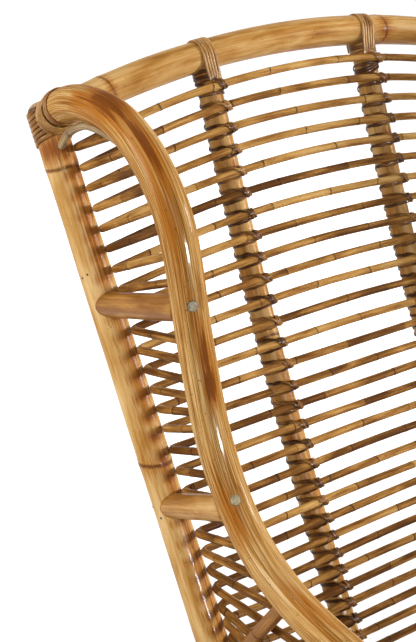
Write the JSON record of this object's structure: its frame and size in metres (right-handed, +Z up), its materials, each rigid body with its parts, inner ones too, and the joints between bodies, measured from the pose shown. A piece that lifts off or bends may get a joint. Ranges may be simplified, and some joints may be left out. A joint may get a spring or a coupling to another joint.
{
  "type": "rattan wing armchair",
  "caption": "High-backed wing armchair of bent rattan poles, its back and wings filled with thin canes bound to upright stiles.",
  "frame": {"origin": "middle of the chair's outline on the floor, under the centre of the bounding box", "axes": "+Z up, the sitter faces -Y, +X to the right as seen from in front; the chair is symmetric about X = 0"},
  "size_m": [0.6556, 0.8692, 1.0474],
  "materials": {
    "skin_on_rattan": "glossy natural skin with node rings",
    "peeled_rattan": "peeled and clear lacquered, long grain with orange-brown streaks",
    "cane": "thin skin-on cane, satin, with dark node rings",
    "peel": "flat split peel, shiny, wound tight",
    "plug": "dull grey-green wooden plug"
  },
  "bodies": {
    "root": {"arm_pole_left": "peeled_rattan", "arm_pole_right": "peeled_rattan", "back_cane_01": "cane", "back_cane_02": "cane", "back_cane_03": "cane", "back_cane_04": "cane", "back_cane_05": "cane", "back_cane_06": "cane", "back_cane_07": "cane", "back_cane_08": "cane", "back_cane_09": "cane", "back_cane_10": "cane", "back_cane_11": "cane", "back_cane_12": "cane", "back_cane_13": "cane", "back_cane_14": "cane", "back_cane_15": "cane", "back_cane_16": "cane", "back_cane_17": "cane", "back_cane_18": "cane", "back_cane_19": "cane", "back_cane_20": "cane", "back_cane_21": "cane", "back_cane_22": "cane", "back_cane_23": "cane", "back_cane_24": "cane", "back_cane_25": "cane", "back_cane_26": "cane", "back_cane_27": "cane", "back_cane_28": "cane", "back_cane_29": "cane", "back_cane_30": "cane", "back_stile_left": "skin_on_rattan", "back_stile_right": "skin_on_rattan", "corner_lashing_left": "peel", "corner_lashing_right": "peel", "rail_lashing_left": "peel", "rail_lashing_right": "peel", "rear_post_left": "skin_on_rattan", "rear_post_right": "skin_on_rattan", "seat_deck": "cane", "seat_rail_front": "skin_on_rattan", "seat_rail_rear": "skin_on_rattan", "seat_rail_side_left": "skin_on_rattan", "seat_rail_side_right": "skin_on_rattan", "side_stretcher_left": "skin_on_rattan", "side_stretcher_right": "skin_on_rattan", "top_rail": "skin_on_rattan", "wing_liner_cane_left": "cane", "wing_liner_cane_right": "cane", "wing_spacer_lower_left": "skin_on_rattan", "wing_spacer_lower_right": "skin_on_rattan", "wing_spacer_upper_left": "skin_on_rattan", "wing_spacer_upper_right": "skin_on_rattan", "wing_strut_left": "skin_on_rattan", "wing_strut_right": "skin_on_rattan", "wood_plug_lower_left": "plug", "wood_plug_lower_right": "plug", "wood_plug_upper_left": "plug", "wood_plug_upper_right": "plug"}
  },
  "joints": []
}
